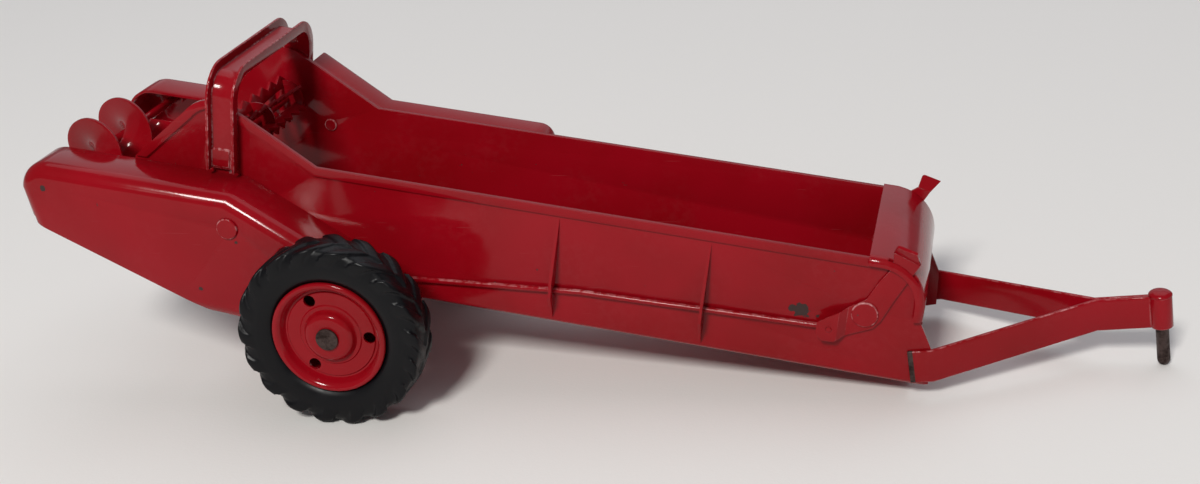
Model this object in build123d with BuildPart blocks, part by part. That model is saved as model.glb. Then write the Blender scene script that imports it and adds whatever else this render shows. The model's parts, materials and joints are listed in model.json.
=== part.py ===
"""Pressed-steel toy manure spreader, at the size of the toy.

The pieces are drawn in the box's own frame and then set down as the toy parks: on its two tyres and
the tip of its hitch pin, nose low.  Box frame: x forward along the floor from the rear kink of the
rim, y to the left, z up from the underside of the floor.  Lengths are in millimetres.
"""
from build123d import *
import math
import os

os.makedirs("parts", exist_ok=True)
spare = 10.0                # blanks and cutters are drawn this far beyond what they shape

# ---- Sheet and clearances -------------------------------------------------------------------------
sheet = 0.9                 # thickness of every pressed sheet
run_gap = 0.05              # radial clearance of a shaft in its hole
lay_gap = 0.1               # clearance between sheets that lie on each other round a bend
end_gap = 0.3               # clearance at the end of a shaft

# ---- Box: floor and two sides ---------------------------------------------------------------------
box_half_w = 29.0           # half of the outer width
box_h = 40.0                # height of the straight rim
rim_front = 175.0           # the straight rim ends here, at the front panel
kink_run = 27.0             # behind the kink the rim climbs over this length
kink_rise = 14.7            # by this much
peak_x = -36.0              # top of the rounded peak behind the arch
peak_z = 57.2
peak_end_x = -44.1          # rear end of the peak's arc
peak_end_z = 52.4
cheek_x = -62.0             # the sloping rear edge goes in under the covers here
cheek_z = 34.0
hem = 2.7                   # depth of the folded hem along the rim
hem_lift = 0.5              # the hem ends this far above the corner of the cheek
bend_r = 1.6                # outer radius of the bend from floor to side
floor_rear = -34.0          # rear end of the floor
side_foot = ((-54.0, 6.0), (-65.0, 20.0))   # x and z along the sides' rear edge, behind the floor

# ---- Front panel ----------------------------------------------------------------------------------
nose_x = 193.6              # front face of the panel
panel_r = 14.8              # outer radius of its quarter round
panel_round = 2.4           # radius of its two side edges
flange_h = 5.7              # depth of the flanges that lap over the sides
flange_round = 2.5          # radius of a flange's rear lower corner
flange_end_z = 22.0         # lower end of the flanges
slot_rear = 180.6           # rear and front ends of the lever slots
slot_front = 190.4
ear_x = 198.3               # front tips of the two ears that carry the tongue
ear_knee_z = 13.2
ear_toe = 3.5               # chamfer under an ear, this long and this high
ear_toe_h = 1.2

# ---- Arch over the beaters ------------------------------------------------------------------------
arch_x = -30.6              # middle of the channel
arch_w = 9.5                # width of its web
arch_lip = 2.8              # height of its flanges
arch_top = 66.2             # outer face of the web at the top
arch_foot = 35.0            # lower ends of the legs
arch_corner = 8.0           # outer radius of its two corners
pad = 6.0                   # square pad that fixes each foot
pad_x = -31.5
pad_proud = 0.6             # it stands this far out of the channel

# ---- Covers over the drive, one on each side ------------------------------------------------------
cover_half_w = 47.0         # outer face of a cover
cover_top = 33.2            # height of its flat top
cover_rear = -94.4          # rearmost point
cover_round = 5.0           # radius of the shoulder
rear_r = 9.2                # radius of the rear end's upper corner
cover_slope = 24.5          # degrees, top of the front part
top_front = -23.0           # the flat top ends here
cover_nose_x = 25.5         # centre of the round front end
cover_nose_z = -1.0
foot_rear = (-91.0, 13.6)   # x and z of the open lower edge
foot_front = (-22.0, -10.2)
guard_drop = 1.6            # the left cover rises to this far under the rim
guard_front = 60.5
guard_round = 6.0
guard_low_z = 24.0          # lower end of its front edge
stud_right_at = (-22.4, 22.5)   # x and z of the studs that hold the covers to the sides
stud_left_at = (-17.0, 31.5)
stud_head_r = 3.5
stud_head_h = 0.8
stud_tail_r = 2.2           # its head inside the box
stud_tail_h = 0.7
head_round = 0.5            # fillet of the studs' and pivots' heads

# ---- Wheels ---------------------------------------------------------------------------------------
axle_x = 16.5               # the axle runs under the floor
axle_r = 2.0
axle_proud = 1.5            # its ends stand out this far beyond the tyres
peen_r = 3.6                # its ends are hammered flat
peen_h = 0.8
tyre_r = 30.0               # to the tips of the lugs
tyre_w = 12.0
tyre_gap = 1.5              # between a tyre and the cover beside it
tyre_bulge = 0.5            # its sidewalls swell by this much
lug_h = 1.7
lug_w = 4.3
lugs = 20                   # on each shoulder of a tyre
lug_slant = 24.0            # degrees
lug_foot = 4.5              # a lug starts this far below its tip on the sidewall
crown = 2.4                 # the lugs fall away over this width at each shoulder
rim_r = 18.5                # outer radius of the steel wheel
rim_lip = 0.5               # its lip stands off the tyre by this much
seat_deep = 1.8             # the tyre sits this deep between the lips
disc_deep = 2.5             # the disc lies this far behind the tyre's outer face
disc_r = 15.0               # radius of its flat part
dome_r = 9.6                # foot of the dome round the hub
hub_r = 4.5
tube_r = 3.4                # tube inside the dome, which runs on the axle
hub_gap = 0.5               # between this tube and the cover
hole_r = 1.95
hole_at = 12.5              # three holes on this radius
hole_turn = 5.5             # degrees

# ---- Beater and distributor -----------------------------------------------------------------------
shaft_r = 1.5
beater_x = -32.2
beater_z = 40.5
beater_r = 8.6              # to the tips of the teeth
blades = 6
blade_deep = 4.6
blade_turn = -12.0          # degrees, at the right end
blade_twist = 30.0          # degrees from end to end
blade_half = 25.7           # half of a blade's length
tooth_pitch = 6.4
tooth_h = 2.2
disc_ring = 6.5             # radius of the discs that carry the blades
auger_x = -81.6
auger_z = 27.5
auger_r = 12.5
auger_pitch = 21.2
auger_right = 26.5          # its flight reaches this far to the right of the middle
auger_left = 17.7           # and this far to the left
auger_top = 1.8             # the flight's edge is at its highest here, to the left
auger_short = 3.6           # its shaft ends this far inside the covers' outer faces
cup_wall = 1.3              # the cups in the covers that carry it
cup_deep = 6.0

# ---- Levers and rods ------------------------------------------------------------------------------
rod_r = 0.9
lever_stand = 2.0           # the rear lobe stands off the side by this much
lever_jog = (-4.6, -7.0)    # x from the pivot, start and end of this step
flap = 5.2                  # length of the lever's top, which is bent outwards
flap_bend = 45.0            # degrees
pivot_x = 176.2
pivot_z = 21.6
pivot_head_r = 4.1
pivot_head_h = 0.8
pivot_tail_r = 2.4
pivot_tail_h = 0.6
lobe_x = 166.2
lobe_z = 15.4
fins_x = (79.3, 127.1)      # two stakes on each side, which guide the rod
fin_reach = 5.6
fin_top = 36.4
fin_flat = (11.0, 16.0)     # heights between which it stands out the furthest
fin_hole = 0.3              # clearance of the rod in a stake
rod_rear_x = 24.0
rod_rear_z = 6.4
rod_bend_x = 88.0
rod_bend_z = 12.7
rod_round = 1.0             # inner radius of its bends

# ---- Tongue and hitch pin -------------------------------------------------------------------------
tongue_slope = 14.5         # degrees up from the floor, forward
strap_lap = 7.6             # straps lie on the ears over this length
strap_mid_z = 8.0           # middle of a strap where it bends inwards
strap_h = 10.6
strap_t = 1.1
strap_meet = 49.0           # from the bends to where the straps meet
pin_at = 68.3               # from the bends to the hitch pin
pin_r = 2.0
pin_swell = 0.3             # it is thicker by this much inside the straps' loop
pin_drop = 13.2             # shank below the strap
pin_head_r = 3.6
pin_head_h = 2.6
pin_head_edge = 0.7         # height of the head's straight edge

# ---- Sizes that follow ----------------------------------------------------------------------------
side_in = box_half_w - sheet
hem_out = box_half_w + sheet
panel_top = box_h + sheet + lay_gap
arm_in = box_half_w + lay_gap
arm_out = arm_in + sheet
panel_half_w = arm_out + lay_gap + sheet
nose_in = nose_x - sheet - lay_gap
arc_x = nose_x - panel_r
arc_z = panel_top - panel_r
axle_z = -run_gap - axle_r
tyre_in = cover_half_w + tyre_gap
tyre_out = tyre_in + tyre_w
axle_end = tyre_out + axle_proud
disc_y = tyre_out - disc_deep
auger_end = cover_half_w - auger_short
guard_z = box_h - guard_drop
cover_in = box_half_w + lay_gap
bend_x = ear_x + end_gap
loop_r = pin_r + pin_swell + run_gap
slope = math.radians(tongue_slope)
TONGUE = Plane(origin=(bend_x, 0, strap_mid_z), x_dir=(math.cos(slope), 0, math.sin(slope)),
               z_dir=(-math.sin(slope), 0, math.cos(slope)))

# the toy rests on both tyres and on the round tip of the hitch pin
tip = TONGUE.from_local_coords((pin_at, 0, -strap_h / 2 - pin_drop + pin_r))
reach = math.hypot(tip.X - axle_x, tip.Z - axle_z)
park = math.atan2(tip.Z - axle_z, tip.X - axle_x) + math.asin((tyre_r - pin_r) / reach)
lean = slope - park
rear_end = cover_rear * math.cos(park) + (cover_top - rear_r) * math.sin(park)
front_end = (bend_x * math.cos(park) + strap_mid_z * math.sin(park)
             + (pin_at + loop_r + strap_t) * math.cos(lean) + strap_h / 2 * math.sin(lean))
park_x = -(rear_end + front_end) / 2
park_z = tyre_r + axle_x * math.sin(park) - axle_z * math.cos(park)
SET_DOWN = Pos(park_x, 0, park_z) * Rot(0, math.degrees(park), 0)


def finish(builder, name, turn=None):
    """Set a piece down as the toy parks, label it and write it."""
    shape = builder.part
    if turn is not None:
        shape = turn(shape)
    shape = SET_DOWN * shape
    shape.label = name
    export_step(shape, "parts/" + name + ".step")


def flip(shape):
    """The same piece on the left side."""
    return shape.mirror(Plane.XZ)


def side_outline():
    """Outline of one side of the box in x and z."""
    arc_r = panel_r - sheet - lay_gap
    slope_top = (-kink_run, box_h + kink_rise)
    Polyline((floor_rear, 0), (ear_x - ear_toe, 0), (ear_x, ear_toe_h), (ear_x - sheet, ear_knee_z),
             (nose_in, flange_end_z), (nose_in, arc_z))
    CenterArc((arc_x, arc_z), arc_r, 0, 90)
    Polyline((arc_x, arc_z + arc_r), (rim_front, arc_z + arc_r), (0, box_h), slope_top)
    ThreePointArc(slope_top, (peak_x, peak_z), (peak_end_x, peak_end_z))
    Polyline((peak_end_x, peak_end_z), (cheek_x, cheek_z), side_foot[1], side_foot[0], (floor_rear, 0))


def nose_outline(inset, low):
    """The region under the front panel's bent sheet, this far inside its outer face."""
    r = panel_r - inset
    Polyline((arc_x, arc_z + r), (rim_front, arc_z + r), (rim_front, low), (arc_x + r, low),
             (arc_x + r, arc_z))
    CenterArc((arc_x, arc_z), r, 0, 90)


def on_bent_edge(edge):
    """True for an edge that follows the front panel's bent sheet along one of its sides."""
    middle = edge.center()
    lengthwise = edge.bounding_box().size.Y < lay_gap
    return lengthwise and middle.X > rim_front + lay_gap and middle.Z > flange_end_z + lay_gap


def rod_z(x):
    """Height of the rod's middle at this x, before it bends down to the lever's lobe."""
    if x < rod_bend_x:
        return rod_rear_z + (rod_bend_z - rod_rear_z) * (x - rod_rear_x) / (rod_bend_x - rod_rear_x)
    return rod_bend_z + (lobe_z - rod_bend_z) * (x - rod_bend_x) / (lobe_x - rod_bend_x)


# ---- Box ------------------------------------------------------------------------------------------
with BuildPart() as tub:
    # floor and sides are one sheet, bent up on both sides
    with BuildSketch(Plane.YZ.offset(cheek_x - spare)) as section:
        Rectangle(2 * box_half_w, 2 * box_h, align=(Align.CENTER, Align.MIN))
        fillet(section.vertices().group_by(Axis.Y)[0], bend_r)
        with Locations((0, sheet)):
            Rectangle(2 * side_in, 2 * box_h, align=(Align.CENTER, Align.MIN), mode=Mode.SUBTRACT)
        fillet(section.vertices().group_by(Axis.Y)[1], bend_r - sheet)
    extrude(amount=ear_x - cheek_x + 2 * spare)
    with BuildSketch(Plane.XZ.offset(box_half_w)):
        with BuildLine():
            side_outline()
        make_face()
    extrude(amount=-2 * box_half_w, mode=Mode.INTERSECT)
    # in front of the panel only the two ears are left
    with Locations((nose_in, 0, -1)):
        Box(2 * (ear_x - nose_in), 2 * side_in, bend_r + 1,
            align=(Align.MIN, Align.CENTER, Align.MIN), mode=Mode.SUBTRACT)
    # folded hem along the rim
    with BuildSketch(Plane.XZ.offset(box_half_w)):
        with BuildLine():
            side_outline()
        make_face()
        offset(amount=-hem, kind=Kind.INTERSECTION, mode=Mode.SUBTRACT)
        with Locations((0, cheek_z + hem_lift)):
            Rectangle(3 * rim_front, 2 * rim_front, align=(Align.CENTER, Align.MAX), mode=Mode.SUBTRACT)
        with Locations((rim_front, 0)):
            Rectangle(rim_front, rim_front, align=(Align.MIN, Align.CENTER), mode=Mode.SUBTRACT)
    extrude(amount=sheet)
    # stakes that guide the rod, each tapering to nothing at both ends
    for fin_x in fins_x:
        with BuildSketch(Plane.YZ.offset(fin_x - sheet / 2)):
            with BuildLine():
                Polyline((-side_in - sheet / 2, bend_r), (-box_half_w, bend_r),
                         (-box_half_w - fin_reach, fin_flat[0]), (-box_half_w - fin_reach, fin_flat[1]),
                         (-box_half_w, fin_top), (-side_in - sheet / 2, fin_top), close=True)
            make_face()
        extrude(amount=sheet)
    mirror(about=Plane.XZ)
    # holes for the beater's shaft, the lever pivots and the studs
    for x, z in ((beater_x, beater_z), (pivot_x, pivot_z)):
        with Locations(Location((x, 0, z), (90, 0, 0))):
            Cylinder(shaft_r + run_gap, 2 * hem_out, mode=Mode.SUBTRACT)
    for (x, z), side in ((stud_right_at, -1), (stud_left_at, 1)):
        with Locations(Location((x, side * box_half_w, z), (90, 0, 0))):
            Cylinder(shaft_r + run_gap, 4 * sheet, mode=Mode.SUBTRACT)
    # the rod runs through the stakes
    for fin_x in fins_x:
        for side in (1, -1):
            with Locations((fin_x, side * (box_half_w + rod_r + fin_hole), rod_z(fin_x))):
                Box(2 * sheet, 2 * (rod_r + fin_hole), 2 * (rod_r + fin_hole), mode=Mode.SUBTRACT)
finish(tub, "tub")

# ---- Front panel ----------------------------------------------------------------------------------
with BuildPart() as panel_hollow:
    with BuildSketch(Plane.XZ.offset(panel_half_w - sheet)):
        with BuildLine():
            nose_outline(sheet, flange_end_z)
        make_face()
    extrude(amount=-2 * (panel_half_w - sheet))
    fillet([e for e in panel_hollow.edges() if on_bent_edge(e)], panel_round - sheet)

with BuildPart() as front_panel:
    with BuildSketch(Plane.XZ.offset(panel_half_w)):
        with BuildLine():
            nose_outline(0, flange_end_z)
        make_face()
    extrude(amount=-2 * panel_half_w)
    fillet([e for e in front_panel.edges() if on_bent_edge(e)], panel_round)
    add(panel_hollow.part, mode=Mode.SUBTRACT)
    # only a strip of each side is left, as a flange
    with BuildSketch(Plane.XZ.offset(panel_half_w)):
        with BuildLine():
            nose_outline(flange_h, flange_end_z)
        make_face()
    extrude(amount=-2 * panel_half_w, mode=Mode.SUBTRACT)
    fillet([e for e in front_panel.edges().filter_by(Axis.Y)
            if abs(e.center().X - rim_front) < lay_gap and e.center().Z < panel_top - sheet - lay_gap],
           flange_round)
    # between the ears it goes on down to the floor
    with Locations((nose_x, 0, 0)):
        Box(sheet, 2 * (side_in - lay_gap), flange_end_z, align=(Align.MAX, Align.CENTER, Align.MIN))
    for side in (1, -1):
        with Locations(((slot_rear + slot_front) / 2, side * (arm_in + arm_out) / 2, arc_z + panel_r)):
            Box(slot_front - slot_rear, sheet + end_gap, panel_r, mode=Mode.SUBTRACT)
finish(front_panel, "front_panel")

# ---- Arch -----------------------------------------------------------------------------------------
def hoop(swell):
    """Inverted U in y and z, this far outside the inner face of the arch's web."""
    half = hem_out + swell
    top = arch_top - sheet + swell
    r = arch_corner - sheet + swell
    Polyline((half, top - r), (half, arch_foot), (-half, arch_foot), (-half, top - r))
    CenterArc((-half + r, top - r), r, 90, 90)
    Line((-half + r, top), (half - r, top))
    CenterArc((half - r, top - r), r, 0, 90)


with BuildPart() as arch:
    # columns: x of the strip's rear face, its width, its height over the web's inner face
    for x, width, height in ((arch_x - arch_w / 2, arch_w, sheet),
                             (arch_x - arch_w / 2, sheet, sheet + arch_lip),
                             (arch_x + arch_w / 2 - sheet, sheet, sheet + arch_lip)):
        with BuildSketch(Plane.YZ.offset(x)):
            with BuildLine():
                hoop(height)
            make_face()
            with BuildLine():
                hoop(0)
            make_face(mode=Mode.SUBTRACT)
        extrude(amount=width)
    pad_out = hem_out + sheet + pad_proud
    with Locations((pad_x, (box_half_w + pad_out) / 2, arch_foot + pad / 2 + sheet),
                   (pad_x, -(box_half_w + pad_out) / 2, arch_foot + pad / 2 + sheet)):
        Box(pad, pad_out - box_half_w, pad)
finish(arch, "arch")

# ---- Covers ---------------------------------------------------------------------------------------
fall = math.radians(cover_slope)
nose_r = (cover_top - cover_nose_z) * math.cos(fall) - (cover_nose_x - top_front) * math.sin(fall)
half_turn = math.radians(45)


def cover_foot():
    """The open lower edge of a cover, from the nose to the rear."""
    return [(cover_nose_x, cover_nose_z - nose_r), foot_front, foot_rear]


def on_nose(angle):
    """Point on the cover's round front end, at this angle up from the front."""
    return (cover_nose_x + nose_r * math.cos(angle), cover_nose_z + nose_r * math.sin(angle))


def right_outline():
    """Side view of the right cover."""
    touch = on_nose(math.pi / 2 - fall)
    Polyline((cover_rear + rear_r, cover_top), (top_front, cover_top), touch)
    ThreePointArc(touch, on_nose((math.pi / 2 - fall) / 2), on_nose(0))
    ThreePointArc(on_nose(0), on_nose(-half_turn), cover_foot()[0])
    Polyline(*cover_foot(), (cover_rear, cover_top - rear_r))
    CenterArc((cover_rear + rear_r, cover_top - rear_r), rear_r, 90, 90)


def left_outline():
    """Side view of the left cover, whose front part rises as a guard to just under the rim."""
    step = arch_x + arch_w / 2 + end_gap
    climb = kink_rise / kink_run
    corner = (guard_front - guard_round, guard_z - guard_round)
    Polyline((cover_rear + rear_r, cover_top), (step, cover_top), (step, guard_z - climb * step),
             (0, guard_z), (corner[0], guard_z))
    CenterArc(corner, guard_round, 0, 90)
    Polyline((guard_front, corner[1]), (guard_front, guard_low_z),
             (cover_nose_x + nose_r, cover_nose_z - nose_r), *cover_foot(), (cover_rear, cover_top - rear_r))
    CenterArc((cover_rear + rear_r, cover_top - rear_r), rear_r, 90, 90)


# what the rim's hem leaves free, seen from the side
with BuildSketch(Plane.XZ) as hem_room:
    with BuildLine():
        side_outline()
    make_face()
    offset(amount=-hem - lay_gap, kind=Kind.INTERSECTION, mode=Mode.REPLACE)

depth = cover_half_w - cover_in
slit = 2 * rod_r            # half height of the rod's way out
for name, outline, stud_at in (("cover_right", right_outline, stud_right_at),
                               ("cover_left", left_outline, stud_left_at)):
    # the space inside, open towards the box and below
    with BuildPart() as hollow:
        with BuildSketch(Plane.XZ.offset(cover_in - 1)):
            with BuildLine():
                outline()
            make_face()
            offset(amount=-sheet, kind=Kind.INTERSECTION, mode=Mode.REPLACE)
        extrude(amount=depth + 1 - sheet)
        fillet(hollow.faces().sort_by(Axis.Y)[0].edges(), cover_round - sheet)
        with BuildSketch(Plane.XZ.offset(cover_in - 1)):
            with BuildLine():
                low = cover_foot()
                Polyline(*[(x, z + 2 * sheet) for x, z in low],
                         *[(x, z - 2 * sheet) for x, z in reversed(low)], close=True)
            make_face()
        extrude(amount=depth + 1 - sheet)
        # the rod comes out through the front wall, against the side of the box
        with BuildSketch(Plane.XZ.offset(cover_in - 1)):
            with BuildLine():
                Polyline((rod_rear_x, rod_z(rod_rear_x) - slit), (fins_x[0], rod_z(fins_x[0]) - slit),
                         (fins_x[0], rod_z(fins_x[0]) + slit), (rod_rear_x, rod_z(rod_rear_x) + slit),
                         close=True)
            make_face()
        extrude(amount=1 + 2 * rod_r + end_gap)
    with BuildPart() as cover:
        with BuildSketch(Plane.XZ.offset(cover_in)):
            with BuildLine():
                outline()
            make_face()
        extrude(amount=depth)
        face = cover.faces().sort_by(Axis.Y)[0]
        sharp = [((a[0] + b[0]) / 2, (a[1] + b[1]) / 2)
                 for a, b in zip(cover_foot(), cover_foot()[1:])]
        keep = [e for e in face.edges()
                if all(math.hypot(e.center().X - x, e.center().Z - z) > 1 for x, z in sharp)]
        fillet(keep, cover_round)
        add(hollow.part, mode=Mode.SUBTRACT)
        # cup that carries the distributor's shaft
        with Locations(Location((auger_x, -cover_half_w + sheet / 2, auger_z), (90, 0, 0))):
            Cylinder(shaft_r + cup_wall, cup_deep, align=(Align.CENTER, Align.CENTER, Align.MAX))
        with Locations(Location((auger_x, -auger_end - end_gap, auger_z), (90, 0, 0))):
            Cylinder(shaft_r + run_gap, cup_deep, align=(Align.CENTER, Align.CENTER, Align.MAX),
                     mode=Mode.SUBTRACT)
        for (x, z), r in (((axle_x, axle_z), axle_r), (stud_at, shaft_r)):
            with Locations(Location((x, -cover_half_w, z), (90, 0, 0))):
                Cylinder(r + run_gap, 4 * sheet, mode=Mode.SUBTRACT)
        # room for the hem of the rim
        with BuildSketch(Plane.XZ.offset(cover_in)):
            with Locations(((cover_rear + guard_front) / 2, cover_top + lay_gap)):
                Rectangle(2 * cover_half_w + guard_front - cover_rear, box_h,
                          align=(Align.CENTER, Align.MIN))
            add(hem_room.sketch, mode=Mode.SUBTRACT)
        extrude(amount=hem_out + lay_gap - cover_in, mode=Mode.SUBTRACT)
    if name == "cover_left":
        finish(cover, name, flip)
    else:
        finish(cover, name)

# ---- Studs that hold the covers to the box --------------------------------------------------------
with BuildPart() as stud:
    with Locations(Location((0, -(side_in + cover_half_w) / 2, 0), (90, 0, 0))):
        Cylinder(shaft_r, cover_half_w - side_in)
    with Locations(Location((0, -cover_half_w - stud_head_h / 2, 0), (90, 0, 0))):
        Cylinder(stud_head_r, stud_head_h)
    with Locations(Location((0, -side_in + stud_tail_h / 2, 0), (90, 0, 0))):
        Cylinder(stud_tail_r, stud_tail_h)
    fillet([stud.edges().sort_by(Axis.Y)[0], stud.edges().sort_by(Axis.Y)[-1]], head_round)
finish(stud, "stud_right", lambda shape: Pos(stud_right_at[0], 0, stud_right_at[1]) * shape)
finish(stud, "stud_left", lambda shape: flip(Pos(stud_left_at[0], 0, stud_left_at[1]) * shape))

# ---- Axle -----------------------------------------------------------------------------------------
with BuildPart() as axle:
    with Locations(Location((axle_x, 0, axle_z), (90, 0, 0))):
        Cylinder(axle_r, 2 * axle_end)
    for side in (1, -1):
        with Locations(Location((axle_x, side * (axle_end - peen_h / 2), axle_z), (90, 0, 0))):
            Cylinder(peen_r, peen_h)
finish(axle, "axle")

# ---- Wheels ---------------------------------------------------------------------------------------
hub_face = axle_end - peen_h - lay_gap
seat_r = rim_r - seat_deep
seat_out = tyre_out - sheet
bore_r = axle_r + run_gap
tube_end = cover_half_w + hub_gap
bead = 2 * sheet            # drop of the sheet from one part of the wheel's disc to the next

with BuildPart() as rim:
    with BuildSketch(Plane.XY):
        with BuildLine():
            # outer face from the bore to the lip, then the barrel, then the inner face back
            Polyline((bore_r, -hub_face), (hub_r, -hub_face), (hub_r + sheet, -hub_face + sheet),
                     (dome_r - sheet, -disc_y - sheet), (dome_r + sheet, -disc_y), (disc_r, -disc_y),
                     (disc_r + sheet, -disc_y - bead), (rim_r - sheet, -tyre_out - rim_lip),
                     (rim_r, -tyre_out), (rim_r, -seat_out), (seat_r, -seat_out),
                     (seat_r, -tyre_in), (rim_r, -tyre_in),
                     (rim_r, -tyre_in + sheet), (seat_r - sheet, -tyre_in + sheet),
                     (seat_r - sheet, -disc_y), (disc_r, -disc_y + sheet),
                     (dome_r, -disc_y + sheet), (hub_r + lay_gap, -hub_face + bead),
                     (tube_r, -hub_face + bead), (tube_r, -tube_end), (bore_r, -tube_end), close=True)
        make_face()
    revolve(axis=Axis.Y)
    with Locations(Location((0, -disc_y, 0), (90, 0, 0))):
        with PolarLocations(hole_at, 3, start_angle=hole_turn):
            Cylinder(hole_r, 4 * sheet, mode=Mode.SUBTRACT)


def tyre_side(face, out):
    """Sidewall from the rim's lip to the tread, on the side whose plane is y = face."""
    lip = (rim_r + end_gap, face)
    swell = ((rim_r + tyre_r - lug_foot) / 2, face + out * tyre_bulge)
    edge = (tyre_r - lug_foot, face)
    shoulder = (tyre_r - lug_h - sheet, face - out * lug_h)
    tread = (tyre_r - lug_h, face - out * crown)
    return lip, swell, edge, shoulder, tread


with BuildPart() as carcass_ring:
    with BuildSketch(Plane.XY):
        with BuildLine():
            lip_a, swell_a, edge_a, shoulder_a, tread_a = tyre_side(-tyre_out + run_gap, -1)
            lip_b, swell_b, edge_b, shoulder_b, tread_b = tyre_side(-tyre_in - run_gap, 1)
            ThreePointArc(lip_a, swell_a, edge_a)
            Polyline(edge_a, shoulder_a, tread_a, tread_b, shoulder_b, edge_b)
            ThreePointArc(edge_b, swell_b, lip_b)
            foot_r = seat_r + run_gap
            Polyline(lip_b, (foot_r, lip_b[1]), (foot_r, -seat_out + run_gap),
                     (lip_a[0], -seat_out + run_gap), lip_a)
        make_face()
    revolve(axis=Axis.Y)

tyre_mid = (tyre_in + tyre_out) / 2
with BuildPart() as treads:
    # slanted bars, staggered on the two shoulders, trimmed to the tyre's crown
    for side in (1, -1):
        with Locations(Location((0, -tyre_mid - side * tyre_w / 4, 0), (0, (1 - side) * 90 / lugs, 0))):
            with Locations(Plane.XZ):
                with PolarLocations(tyre_r - lug_foot / 2, lugs):
                    with Locations(Location((0, 0, 0), (side * lug_slant, 0, 0))):
                        Box(lug_foot + lug_h, lug_w, tyre_w / 2 + sheet)
    with BuildSketch(Plane.XY):
        with BuildLine():
            Polyline((rim_r, -tyre_out), (tyre_r - lug_foot, -tyre_out), (tyre_r - lug_h, -tyre_out),
                     (tyre_r, -tyre_out + crown), (tyre_r, -tyre_in - crown),
                     (tyre_r - lug_h, -tyre_in), (tyre_r - lug_foot, -tyre_in),
                     (rim_r, -tyre_in), close=True)
        make_face()
    revolve(axis=Axis.Y, mode=Mode.INTERSECT)
with BuildPart() as tyre:
    add(carcass_ring.part)
    add(treads.part)

wheel_place = Pos(axle_x, 0, axle_z)
for name, shape in (("rim", rim), ("tyre", tyre)):
    finish(shape, name + "_right", lambda piece: wheel_place * piece)
    finish(shape, name + "_left", lambda piece: flip(wheel_place * piece))

# ---- Beater ---------------------------------------------------------------------------------------
def saw_line():
    """The saw teeth along the beater's outer edge, as radius and place along the shaft."""
    count = int(2 * blade_half // tooth_pitch)
    start = -count * tooth_pitch / 2
    saw = []
    for n in range(count):
        saw.append((beater_r - tooth_h, start + n * tooth_pitch))
        saw.append((beater_r, start + (n + 0.5) * tooth_pitch))
    return [(0, start), *saw, (beater_r - tooth_h, -start), (0, -start)]


# one blade: a strip that winds a little round the shaft
with BuildPart() as blade:
    with BuildLine():
        wind = Helix(pitch=720 * blade_half / blade_twist, height=2 * blade_half,
                     radius=beater_r - blade_deep / 2)
    with BuildSketch(Plane(origin=wind @ 0, x_dir=(1, 0, 0), z_dir=wind % 0)):
        Rectangle(blade_deep, sheet)
    sweep(path=wind, is_frenet=True)

with BuildPart() as beater:
    with PolarLocations(0, blades):
        add(blade.part)
    # its outer edge is cut to saw teeth
    with BuildSketch(Plane.XZ.offset(0)):
        with BuildLine():
            Polyline(*[(r, y + blade_half) for r, y in saw_line()], close=True)
        make_face()
    revolve(axis=Axis.Z, mode=Mode.INTERSECT)
    with Locations((0, 0, blade_half)):
        Cylinder(shaft_r, 2 * (box_half_w - lay_gap))
    for along in (2 * sheet, blade_half, 2 * (blade_half - sheet)):
        with Locations((0, 0, along)):
            Cylinder(disc_ring, sheet)
beater_place = Pos(beater_x, -blade_half, beater_z) * Rot(-90, 0, 0) * Rot(0, 0, blade_turn)
finish(beater, "beater", lambda shape: beater_place * shape)

# ---- Distributor ----------------------------------------------------------------------------------
with BuildPart() as distributor:
    with BuildLine():
        curl = Helix(pitch=auger_pitch, height=auger_right + auger_left, radius=auger_r / 2, lefthand=True)
    with BuildSketch(Plane(origin=curl @ 0, x_dir=(1, 0, 0), z_dir=curl % 0)):
        Rectangle(auger_r, sheet)
    sweep(path=curl, is_frenet=True)
    with Locations((0, 0, auger_right)):
        Cylinder(shaft_r, 2 * auger_end)
auger_turn = 360 * (auger_right + auger_top) / auger_pitch - 90
auger_place = Pos(auger_x, -auger_right, auger_z) * Rot(-90, 0, 0) * Rot(0, 0, auger_turn)
finish(distributor, "distributor", lambda shape: auger_place * shape)

# ---- Levers ---------------------------------------------------------------------------------------
# columns: x and z from the pivot, round the lever from its rear lobe over the top
lever_line = ((-13.8, -4.4), (-9.9, -1.6), (-4.4, 1.9), (-0.2, 4.8), (2.8, 11.4), (6.2, 16.9), (7.9, 20.5),
              (14.0, 19.0), (11.0, 12.6), (7.9, 5.7), (4.9, -1.7), (2.9, -4.4), (-4.0, -7.7),
              (-8.2, -10.1), (-11.8, -10.3), (-13.8, -8.4))
fold_rear, fold_front = lever_line[6], lever_line[7]
fold_angle = math.atan2(fold_rear[1] - fold_front[1], fold_front[0] - fold_rear[0])
fold_w = math.hypot(fold_front[0] - fold_rear[0], fold_front[1] - fold_rear[1])
bend = math.radians(flap_bend)
FLAP = Plane(origin=(pivot_x + fold_rear[0], -arm_in, pivot_z + fold_rear[1]),
             x_dir=(math.cos(fold_angle), 0, -math.sin(fold_angle)),
             z_dir=(-math.sin(fold_angle) * math.sin(bend), -math.cos(bend),
                    -math.cos(fold_angle) * math.sin(bend)))
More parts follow.
